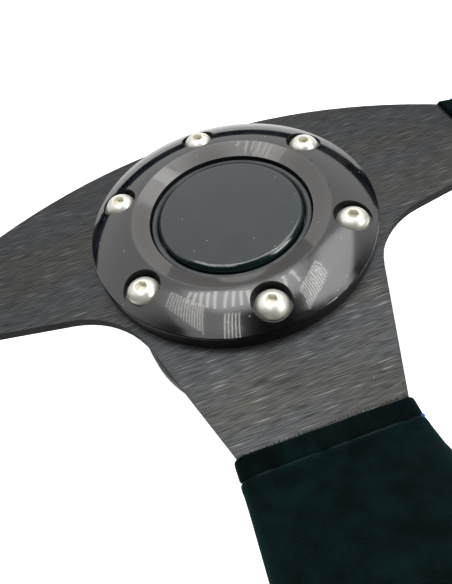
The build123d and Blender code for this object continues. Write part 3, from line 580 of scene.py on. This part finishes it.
def rim_path(distance):
    """Point on the rim's centre line and the way it runs, from the bottom right corner's start,
    anticlockwise seen by the driver. The distance is in millimetres from the middle of the flat."""
    flat = CORNER_X
    corner = CORNER_R * (pi / 2 + CORNER_ANGLE)
    arc = RIM_R * (pi - 2 * CORNER_ANGLE)
    total = 2 * (flat + corner) + arc
    d = distance % total
    if d < flat:
        return (d, RIM_FLAT_Y), 0.0
    d -= flat
    if d < corner:
        turn = d / CORNER_R
        return (CORNER_X + CORNER_R * sin(turn), CORNER_Y - CORNER_R * cos(turn)), turn
    d -= corner
    if d < arc:
        angle = CORNER_ANGLE + d / RIM_R
        return (RIM_R * cos(angle), RIM_R * sin(angle)), angle + pi / 2
    d -= arc
    if d < corner:
        start = pi - CORNER_ANGLE + d / CORNER_R
        return (-CORNER_X + CORNER_R * cos(start), CORNER_Y + CORNER_R * sin(start)), start + pi / 2
    d -= corner
    return (-CORNER_X + d, RIM_FLAT_Y), 0.0


FLAT_END = CORNER_X
CORNER_LENGTH = CORNER_R * (pi / 2 + CORNER_ANGLE)
ARC_START = FLAT_END + CORNER_LENGTH
ARC_LENGTH = RIM_R * (pi - 2 * CORNER_ANGLE)
RIM_LENGTH = 2 * ARC_START + ARC_LENGTH


def arc_distance(angle):
    """Distance along the rim of a point at this angle on its round part."""
    return ARC_START + RIM_R * (angle - CORNER_ANGLE)


def grip_point(distance, round_angle, out_by=0.0):
    """Point on the grip. round_angle 0 faces away from the hub, a quarter turn up, half towards it."""
    (x, y), way = rim_path(distance)
    outward = (sin(way), -cos(way))
    side = (GRIP_HALF_W + out_by) * cos(round_angle)
    return (
        x + outward[0] * side, y + outward[1] * side, RIM_Z + (GRIP_HALF_H + out_by) * sin(round_angle)
    )


def grip_panel(name, start, end, steps=72):
    """One suede panel of the grip: turned-in ends, an inner seam and a hand-wrapped unevenness."""
    length = end - start
    stations = [0.0, 0.25, 0.6, 1.0, 1.6, 2.4, 3.4, 4.4, 5.2, 6.2, 7.5]
    while stations[-1] < length - 8.5:
        stations.append(stations[-1] + 1.7)
    stations += [length - s for s in (7.5, 6.2, 5.2, 4.4, 3.4, 2.4, 1.6, 1.0, 0.6, 0.25, 0.0)]
    outer, inner = [], []
    for s in stations:
        from_end = min(s, length - s)
        section, lining = [], []
        for j in range(steps):
            # steps are closer together at the inner seam
            t = 2 * pi * j / steps
            angle = t + 0.45 * sin(t)
            across = (pi - angle) * 15
            lips = bulge(across, 2.6, 1.1) + bulge(across, -2.6, 1.1)
            out_by = -0.55 * bulge(across, 0, 0.8) + 0.30 * lips
            out_by += -0.95 * bulge(from_end, 0, 0.5) + 0.28 * bulge(from_end, 2.4, 1.4)
            out_by -= 0.16 * bulge(from_end, 4.6, 0.6)
            spot = Vector(grip_point(start + s, angle))
            out_by += 0.16 * noise.noise(spot * 0.045) + 0.07 * noise.noise(spot * 0.16)
            cut = 0.8 * bulge(across, 0, 0.5) + 0.8 * bulge(from_end, 0.3, 0.35)
            section.append((*grip_point(start + s, angle, out_by), min(cut, 1.0)))
            lining.append((*grip_point(start + s, angle, -SUEDE_T - 0.4), 0.0))
        outer.append(section)
        inner.append(lining)
    sections = outer + inner[::-1]
    return loft(name, sections, ring=True)


def sew(name, stitches, thread, length, lift, radius, jitter=0.03, seed=1):
    """Stitches as one mesh. Each is (point, the way it runs, the way out of the suede)."""
    mesh = bpy.data.meshes.new(name + "_places")
    mesh.from_pydata([tuple(v * 0.001 for v in place) for place, _, _ in stitches], [], [])
    for label, pick in (("along", 1), ("outward", 2)):
        attribute = mesh.attributes.new(label, "FLOAT_VECTOR", "POINT")
        attribute.data.foreach_set("vector", [v for stitch in stitches for v in stitch[pick]])
    places = bpy.data.objects.new(name + "_places", mesh)
    bpy.context.scene.collection.objects.link(places)
    modifier = places.modifiers.new("stitches", "NODES")
    modifier.node_group = SEWING
    values = {
        "Length": length * 0.001, "Lift": lift * 0.001, "Radius": radius * 0.001,
        "Jitter": jitter, "Seed": seed, "Thread": thread,
    }
    for item in SEWING.interface.items_tree:
        if item.item_type == "SOCKET" and item.in_out == "INPUT" and item.name in values:
            modifier[item.identifier] = values[item.name]
    seen = places.evaluated_get(bpy.context.evaluated_depsgraph_get())
    sewn = bpy.data.objects.new(name, bpy.data.meshes.new_from_object(seen))
    sewn.data.name = name
    bpy.context.scene.collection.objects.link(sewn)
    bpy.data.objects.remove(places)
    return sewn


def make_sewing():
    """Geometry nodes that lay one short thread on each point, along and proud of the suede."""
    group = bpy.data.node_groups.new("sewing", "GeometryNodeTree")
    face = group.interface
    face.new_socket("Geometry", in_out="INPUT", socket_type="NodeSocketGeometry")
    for name, value in (("Length", 0.004), ("Lift", 0.0006), ("Radius", 0.0003), ("Jitter", 0.03)):
        face.new_socket(name, in_out="INPUT", socket_type="NodeSocketFloat").default_value = value
    face.new_socket("Seed", in_out="INPUT", socket_type="NodeSocketInt").default_value = 1
    face.new_socket("Thread", in_out="INPUT", socket_type="NodeSocketMaterial")
    face.new_socket("Geometry", in_out="OUTPUT", socket_type="NodeSocketGeometry")
    tree = Tree(group)
    given = tree.add("NodeGroupInput").outputs
    half = tree.sum("MULTIPLY", given["Length"], 0.5)
    sunk = tree.sum("MULTIPLY", given["Radius"], -1.2)
    start = tree.add("ShaderNodeCombineXYZ", {"X": tree.sum("MULTIPLY", half, -1.0), "Y": sunk}).outputs[0]
    middle = tree.add("ShaderNodeCombineXYZ", {"Y": tree.sum("MULTIPLY", given["Lift"], 2.0)}).outputs[0]
    end = tree.add("ShaderNodeCombineXYZ", {"X": half, "Y": sunk}).outputs[0]
    arc = tree.add(
        "GeometryNodeCurveQuadraticBezier", {"Resolution": 6, "Start": start, "Middle": middle, "End": end}
    )
    ring = tree.add("GeometryNodeCurvePrimitiveCircle", {"Resolution": 6, "Radius": given["Radius"]})
    thread = tree.add(
        "GeometryNodeCurveToMesh",
        {"Curve": arc.outputs[0], "Profile Curve": ring.outputs[0], "Fill Caps": True},
    )
    along = tree.add("GeometryNodeInputNamedAttribute", {"Name": "along"}, data_type="FLOAT_VECTOR")
    outward = tree.add("GeometryNodeInputNamedAttribute", {"Name": "outward"}, data_type="FLOAT_VECTOR")
    run = tree.add("FunctionNodeAlignRotationToVector", {"Vector": along.outputs[0]}, axis="X")
    stand = tree.add(
        "FunctionNodeAlignRotationToVector",
        {"Rotation": run.outputs[0], "Vector": outward.outputs[0]}, axis="Y", pivot_axis="X",
    )
    low = tree.sum("SUBTRACT", 1.0, given["Jitter"])
    high = tree.sum("ADD", 1.0, given["Jitter"])
    size = tree.add("FunctionNodeRandomValue", data_type="FLOAT_VECTOR")
    for socket, value in (("Min", low), ("Max", high)):
        combined = tree.add("ShaderNodeCombineXYZ", {"X": value, "Y": value, "Z": value}).outputs[0]
        group.links.new(combined, size.inputs[socket])
    group.links.new(given["Seed"], size.inputs["Seed"])
    laid = tree.add(
        "GeometryNodeInstanceOnPoints",
        {"Points": given["Geometry"], "Instance": thread.outputs[0], "Rotation": stand.outputs[0],
         "Scale": size.outputs["Value"]},
    )
    real = tree.add("GeometryNodeRealizeInstances", {"Geometry": laid.outputs[0]})
    smooth = tree.add("GeometryNodeSetShadeSmooth", {"Geometry": real.outputs[0]})
    coloured = tree.add(
        "GeometryNodeSetMaterial", {"Geometry": smooth.outputs[0], "Material": given["Thread"]}
    )
    out = tree.add("NodeGroupOutput")
    group.links.new(coloured.outputs[0], out.inputs[0])
    return group


SEWING = make_sewing()

# --- Suede grip ------------------------------------------------------------------------------
PANELS = {
    "rim_cover_top": (arc_distance(TOP_SEAM_ANGLE), arc_distance(pi - TOP_SEAM_ANGLE)),
    "rim_cover_right": (ARC_START, arc_distance(TOP_SEAM_ANGLE)),
    "rim_cover_left": (arc_distance(pi - TOP_SEAM_ANGLE), arc_distance(pi - CORNER_ANGLE)),
    "rim_cover_bottom": (-ARC_START, ARC_START),
}
BOOT_GAPS = [
    (arc_distance(radians(-20)), arc_distance(radians(22))),
    (arc_distance(radians(158)), arc_distance(radians(200))),
    (RIM_LENGTH - 46, RIM_LENGTH + 46),
    (-46, 46),
]
STITCH_PITCH = 5.0
STITCH_LEAN = 0.75
SEAM_MARGIN = 6
END_ROW_IN = 2.6
END_ROW_COUNT = 30
for name, (start, end) in PANELS.items():
    panel = grip_panel(name.replace("rim_cover", "grip"), start, end)
    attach(panel, "wheel")
    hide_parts(name)

    # crossed blue stitches that draw the inner seam together
    crossed = []
    sewn = end - start - 2 * SEAM_MARGIN
    count = int(sewn / STITCH_PITCH)
    for i in range(count + 1):
        d = start + SEAM_MARGIN + i * sewn / count
        if any(low < d < high for low, high in BOOT_GAPS):
            continue
        _, way = rim_path(d)
        inward = (-sin(way), cos(way), 0)
        run = (cos(way), sin(way))
        place = grip_point(d, pi, 0.15)
        for lean in (STITCH_LEAN, -STITCH_LEAN):
            crossed.append((place, (run[0] * cos(lean), run[1] * cos(lean), sin(lean)), inward))
    seam = sew(f"{name}_cross_stitch", crossed, BLUE_THREAD, 6.4, 0.45, 0.38, seed=7)
    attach(seam, "wheel")

    # small black stitches either side of the joint with the next panel
    rows = []
    for d in (start + END_ROW_IN, end - END_ROW_IN):
        _, way = rim_path(d)
        for j in range(END_ROW_COUNT):
            angle = 2 * pi * (j + 0.5) / END_ROW_COUNT
            if abs(angle - pi) < 0.3:
                continue
            tangent = Vector((-sin(way) * sin(angle) * GRIP_HALF_W, cos(way) * sin(angle) * GRIP_HALF_W,
                              GRIP_HALF_H * cos(angle))).normalized()
            outward = Vector((sin(way) * cos(angle), -cos(way) * cos(angle), sin(angle))).normalized()
            rows.append((grip_point(d, angle, 0.25), tuple(tangent), tuple(outward)))
    seam = sew(f"{name}_end_stitch", rows, BLACK_THREAD, 2.5, 0.22, 0.24, seed=3)
    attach(seam, "wheel")


# --- Suede boots -----------------------------------------------------------------------------
def arc_through(first, second, third):
    """Centre and radius of the circle through three points."""
    (ax, ay), (bx, by), (cx, cy) = first, second, third
    d = 2 * (ax * (by - cy) + bx * (cy - ay) + cx * (ay - by))
    a, b, c = ax * ax + ay * ay, bx * bx + by * by, cx * cx + cy * cy
    x = (a * (by - cy) + b * (cy - ay) + c * (ay - by)) / d
    y = (a * (cx - bx) + b * (ax - cx) + c * (bx - ax)) / d
    return x, y, hypot(ax - x, ay - y)


def boot_heights(run, hem, rim_centre):
    """Lowest and highest of a boot's section this far from the steering axis."""
    rise, bend, meet = hem + BOOT_FLAT, hem + PLATE_BEND, rim_centre - MEET_IN
    high_end, low_end = RIM_Z + MEET_UP, RIM_Z - MEET_UP
    top = BOOT_TOP
    if run > rise:
        sag = (BOOT_TOP + high_end) / 2 - BOOT_SAG
        x, y, r = arc_through((rise, BOOT_TOP), ((rise + meet) / 2, sag), (meet, high_end))
        top = y - sqrt(r * r - (min(run, meet) - x) ** 2)
    bottom = BOOT_BOTTOM
    if run > bend:
        bottom += (low_end - BOOT_BOTTOM) * min(1, (run - bend) / (meet - bend))
    return bottom, top


def boot_loop(left, right, bottom, top, shrink, crown):
    """Round-cornered section as (across, height) points, always the same number of them."""
    left, right, bottom, top = left + shrink, right - shrink, bottom + shrink, top - shrink
    corner = min((top - bottom) / 2, 7.5)
    points = []
    for cx, cz, begin in (
        (right - corner, top - corner, 0), (left + corner, top - corner, 90),
        (left + corner, bottom + corner, 180), (right - corner, bottom + corner, 270),
    ):
        for k in range(9):
            angle = radians(begin + k * 90 / 8)
            points.append((cx + corner * cos(angle), cz + corner * sin(angle)))
        if begin in (0, 180):
            goal = left + corner if begin == 0 else right - corner
            for k in range(1, 30):
                share = k / 30
                points.append((cx + (goal - cx) * share, cz + corner * (1 if begin == 0 else -1)))
        else:
            for k in range(1, 4):
                goal = bottom + corner if begin == 90 else top - corner
                points.append((cx + corner * (-1 if begin == 90 else 1), cz + (goal - cz) * k / 4))
    middle, half = (left + right) / 2, (right - left) / 2
    return [
        (a, z + (crown * (1 - ((a - middle) / half) ** 2) if z > (top + bottom) / 2 else 0))
        for a, z in points
    ]


HEM_STATIONS = [0.0, 0.12, 0.35, 0.7, 1.3, 2.1, 3.0, 3.8, 4.3, 4.6, 4.8, 5.0, 5.2, 5.5, 6.0, 6.8, 7.8]
HEM_SHRINK = {0.0: 0.75, 0.12: 0.42, 0.35: 0.17, 0.7: 0.04}


def boot_skin(name, hem, rim_centre, widths, to_world, end_run):
    """Suede boot: a folded hem band, a sewn-down step behind it, then a sleeve up to the grip."""
    stations = list(HEM_STATIONS)
    while hem + stations[-1] < end_run - 1.2:
        stations.append(stations[-1] + 1.15)
    stations.append(end_run - hem)
    sections = []
    for s in [6.0, 3.0, 1.0] + stations:
        inside = len(sections) < 3
        run = hem + s
        left, right = widths(run)
        bottom, top = boot_heights(hem if inside else run, hem, rim_centre)
        if inside:
            left, right = widths(hem)
        shrink = 1.18 if inside else HEM_SHRINK.get(s, 0.0)
        if not inside:
            shrink += 0.42 * bulge(s, HEM_BAND + 0.1, 0.3) - 0.12 * bulge(s, HEM_BAND + 1.6, 1.0)
        crown = 0.0 if s < 5 else min(0.7, (s - 5) * 0.08)
        section = []
        for across, height in boot_loop(left, right, bottom, top, shrink, crown):
            spot = Vector(to_world(run, across, height))
            if not inside:
                rough = 0.05 if s < 4.9 else min(0.34, 0.08 + (s - 4.9) * 0.035)
                spot += Vector((0, 0, 1)) * rough * (
                    noise.noise(spot * 0.11) + 0.5 * noise.noise(spot * 0.37)
                ) * (1 if height > (top + bottom) / 2 else 0.4)
                wave = noise.noise(Vector((across * 0.09, hem, 4.0)))
                wave += 0.3 * noise.noise(Vector((across * 0.5, hem, 8.0)))
                wave *= 0.35 * max(0, 1 - s / 6)
                spot = Vector(to_world(run + wave, across, spot.z))
            cut = 0.0 if inside else bulge(s, HEM_BAND + 0.15, 0.14)
            section.append((*spot, cut))
        sections.append(section)
    return loft(name, sections)


SIDE_SPREAD = 143
side_high = arc_through((SIDE_HEM, 23.6), (118, 27.6), (SIDE_SPREAD, side_boot_high[1]))
side_low = arc_through((SIDE_HEM, -11.6), (118, -18.1), (SIDE_SPREAD, side_boot_low[1]))


def side_widths(run):
    """Lower and upper edge of a side boot this far out."""
    if run >= SIDE_SPREAD:
        return side_boot_low[1], side_boot_high[1]
    upper = side_high[1] - sqrt(side_high[2] ** 2 - (run - side_high[0]) ** 2)
    lower = side_low[1] + sqrt(side_low[2] ** 2 - (run - side_low[0]) ** 2)
    return lower, upper


LOWER_HALF_W = 21.6
FLARE = 24
FLARE_RUN = -RIM_FLAT_Y - GRIP_HALF_W - FLARE


def lower_widths(run):
    """Left and right edge of the lower boot this far down."""
    if run <= FLARE_RUN:
        return -LOWER_HALF_W, LOWER_HALF_W
    along = min(run - FLARE_RUN, FLARE * 0.995)
    half = LOWER_HALF_W + FLARE - sqrt(FLARE**2 - along**2)
    return -half, half


BOOTS = {
    "spoke_boot_right": (SIDE_HEM, RIM_R, side_widths, lambda run, across, z: (run, across, z)),
    "spoke_boot_left": (SIDE_HEM, RIM_R, side_widths, lambda run, across, z: (-run, across, z)),
    "spoke_boot_lower": (LOWER_HEM, -RIM_FLAT_Y, lower_widths, lambda run, across, z: (across, -run, z)),
}
for name, (hem, rim_centre, widths, to_world) in BOOTS.items():
    end_run = rim_centre - MEET_IN + 2.5
    boot = boot_skin(name.replace("spoke_", ""), hem, rim_centre, widths, to_world, end_run)
    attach(boot, "wheel")
    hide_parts(name)

    # blue running stitch round the back of the hem, which just shows at the boot's sides
    origin = Vector(to_world(0, 0, 0))
    run_way = Vector(to_world(1, 0, 0)) - origin
    across_way = Vector(to_world(0, 1, 0)) - origin
    up = Vector((0, 0, 1))
    at = hem + HEM_BAND + 0.1
    left, right = widths(at)
    low, high = BOOT_BOTTOM + 0.4, BOOT_TOP - 0.4
    middle_z = (low + high) / 2
    half = (high - low) / 2
    back = []
    steps = int((right - left - 2 * half) / 3.6)
    for i in range(steps + 1):
        across = left + half + (right - left - 2 * half) * i / steps
        back.append((to_world(at, across, low + 0.05), tuple(across_way), (0, 0, -1)))
    back.append((to_world(at, right - 0.30, middle_z + 0.5), (0, 0, 1), tuple(across_way)))
    seam = sew(f"{name}_hem_stitch", back, BLUE_THREAD, 2.8, 0.30, 0.36, seed=5)
    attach(seam, "wheel")

    # crossed stitches that close the sleeve along its back
    closing = []
    run = hem + 9
    while run < rim_centre - GRIP_HALF_W - 3:
        bottom, _ = boot_heights(run, hem, rim_centre)
        after, _ = boot_heights(run + 1, hem, rim_centre)
        slope = (run_way + up * (after - bottom)).normalized()
        normal = slope.cross(across_way)
        normal = normal if normal.z < 0 else -normal
        left, right = widths(run)
        middle = (left + right) / 2 if hem == LOWER_HEM else 4.0
        for lean in (0.8, -0.8):
            way = slope * cos(lean) + across_way * sin(lean)
            closing.append((to_world(run, middle, bottom - 0.05), tuple(way), tuple(normal)))
        run += 4.6
    seam = sew(f"{name}_closing_stitch", closing, BLUE_THREAD, 5.6, 0.4, 0.36, seed=9)
    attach(seam, "wheel")

    # loose fibres along the cut edge of the hem
    loose = []
    for i in range(170):
        left, right = widths(hem)
        pick = Vector((
            noise.cell(Vector((i * 1.7, hem, 1.0))), noise.cell(Vector((i * 2.3, hem, 5.0))),
            noise.cell(Vector((i * 3.1, hem, 9.0))),
        ))
        across = left + 1.5 + (right - left - 3) * (i / 169)
        way = -run_way * (0.8 + 0.3 * pick.x) + across_way * (pick.y * 0.8) + up * (0.25 + 0.4 * pick.z)
        way = way.normalized()
        side = way.cross(across_way).normalized()
        loose.append((to_world(hem + 0.1, across, BOOT_TOP - 0.35), tuple(way), tuple(side)))
    tuft = sew(f"{name}_loose_fibres", loose, SUEDE, 0.9, 0.08, 0.05, jitter=0.5, seed=11)
    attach(tuft, "wheel")


# --- Floor and light ---------------------------------------------------------------------------
def make_floor():
    mesh = bpy.data.meshes.new("floor")
    mesh.from_pydata([(-8, -8, 0), (8, -8, 0), (8, 8, 0), (-8, 8, 0)], [], [(0, 1, 2, 3)])
    floor = bpy.data.objects.new("floor", mesh)
    bpy.context.scene.collection.objects.link(floor)
    material, tree, shader, place = new_finish(
        "pale_floor", Roughness=0.8, Emission_Color=(1, 1, 1, 1)
    )
    seen = tree.add("ShaderNodeLightPath").outputs["Is Camera Ray"]
    join(tree, shader, Emission_Strength=tree.spread(seen, 0, 1, 0.25, 0.9))
    cloud = tree.noise(place["Object"], 6.0, 3.0)
    join(tree, shader, Base_Color=tree.colour(cloud, (0.88, 0.88, 0.88), (0.90, 0.90, 0.90)))
    mesh.materials.append(material)


def area_light(name, place, aim, size, size_y, power, colour=(1, 1, 1), turn=0.0):
    data = bpy.data.lights.new(name, "AREA")
    data.shape = "RECTANGLE"
    data.size, data.size_y, data.energy, data.color = size, size_y, power, colour
    light = bpy.data.objects.new(name, data)
    way = (Vector(aim) - Vector(place)).to_track_quat("-Z", "Y").to_matrix().to_4x4()
    light.matrix_world = Matrix.Translation(place) @ Matrix.Rotation(turn, 4, "Z") @ way
    light.visible_camera = False
    bpy.context.scene.collection.objects.link(light)


# Soft bright patches of ceiling as seen from the wheel: lowest and highest (x, y) one metre up,
# how far the edge fades, brightness
BRIGHT_PATCHES = [
    ((-0.55, -0.30), (-0.12, 0.56), 0.06, 1.2),
    ((-0.20, 0.06), (0.36, 0.56), 0.10, 2.7),
    ((0.38, -0.26), (0.92, 0.60), 0.09, 2.9),
]


def make_sky():
    """Studio surround: bright ahead of the wheel and in patches overhead, dim behind the driver,
    plain white to look at."""
    world = bpy.data.worlds.new("studio")
    world.use_nodes = True
    bpy.context.scene.world = world
    tree = Tree(world.node_tree)
    background = world.node_tree.nodes["Background"]
    way = tree.add("ShaderNodeSeparateXYZ", {"Vector": tree.add("ShaderNodeTexCoord").outputs["Generated"]})
    height = tree.sum("MAXIMUM", way.outputs["Z"], 0.05)
    across, ahead = (tree.sum("DIVIDE", way.outputs[axis], height) for axis in "XY")
    light = tree.spread(way.outputs["Y"], -0.1, 0.3, 0.02, 0.95, smooth=True)
    for low, high, fade, glow in BRIGHT_PATCHES:
        patch = tree.spread(way.outputs["Z"], 0.3, 0.5, 0, glow, smooth=True)
        for where, start, end in zip((across, ahead), low, high):
            patch = tree.sum("MULTIPLY", patch, tree.spread(where, start - fade, start + fade, smooth=True))
            patch = tree.sum("MULTIPLY", patch, tree.spread(where, end - fade, end + fade, 1, 0, smooth=True))
        light = tree.sum("MAXIMUM", light, patch)
    seen = tree.add("ShaderNodeLightPath").outputs["Is Camera Ray"]
    hidden = tree.sum("MULTIPLY", light, tree.sum("SUBTRACT", 1.0, seen))
    world.node_tree.links.new(tree.sum("ADD", seen, hidden), background.inputs["Strength"])
    background.inputs["Color"].default_value = (1, 1, 1, 1)


# Banks of ceiling tubes: ends of the first tube, ends of the last, count, width, brightness
TUBE_BANKS = [
    ((-0.261, 0.444), (-0.464, 0.232), (-0.179, 0.225), (-0.418, -0.230), 14, 0.006, 5.5),
    ((-0.144, 0.454), (-0.274, 0.263), (-0.028, 0.470), (-0.152, 0.142), 5, 0.014, 4.5),
    ((0.010, 0.450), (-0.100, 0.130), (0.073, 0.386), (0.031, 0.114), 4, 0.014, 4.5),
    ((0.218, 0.440), (0.236, 0.184), (0.263, 0.437), (0.308, 0.187), 2, 0.014, 4.5),
    ((-0.131, 0.032), (-0.291, -0.370), (-0.058, 0.004), (-0.180, -0.407), 5, 0.007, 7.0),
    ((0.392, 0.376), (0.527, 0.068), (0.301, 0.076), (0.398, -0.325), 13, 0.005, 9.0),
]
CEILING = 1.0


def make_ceiling_lights():
    for bank, (*corners, count, width, glow) in enumerate(TUBE_BANKS):
        for i in range(count):
            share = i / (count - 1)
            start, end = (Vector(a).lerp(Vector(b), share) for a, b in zip(corners[:2], corners[2:]))
            x, y = (start + end) / 2
            run = end - start
            area_light(
                f"tube_{bank}_{i}", (x, y, CEILING), (x, y, 0), run.length, width,
                pi * run.length * width * glow, (1, 0.98, 0.94), turn=atan2(run.y, run.x),
            )


make_floor()
make_sky()
make_ceiling_lights()
area_light("soft_right", (0.9, -0.6, 0.8), (0, 0, 0.05), 0.6, 0.5, 7)
bpy.context.scene.view_settings.view_transform = "Standard"
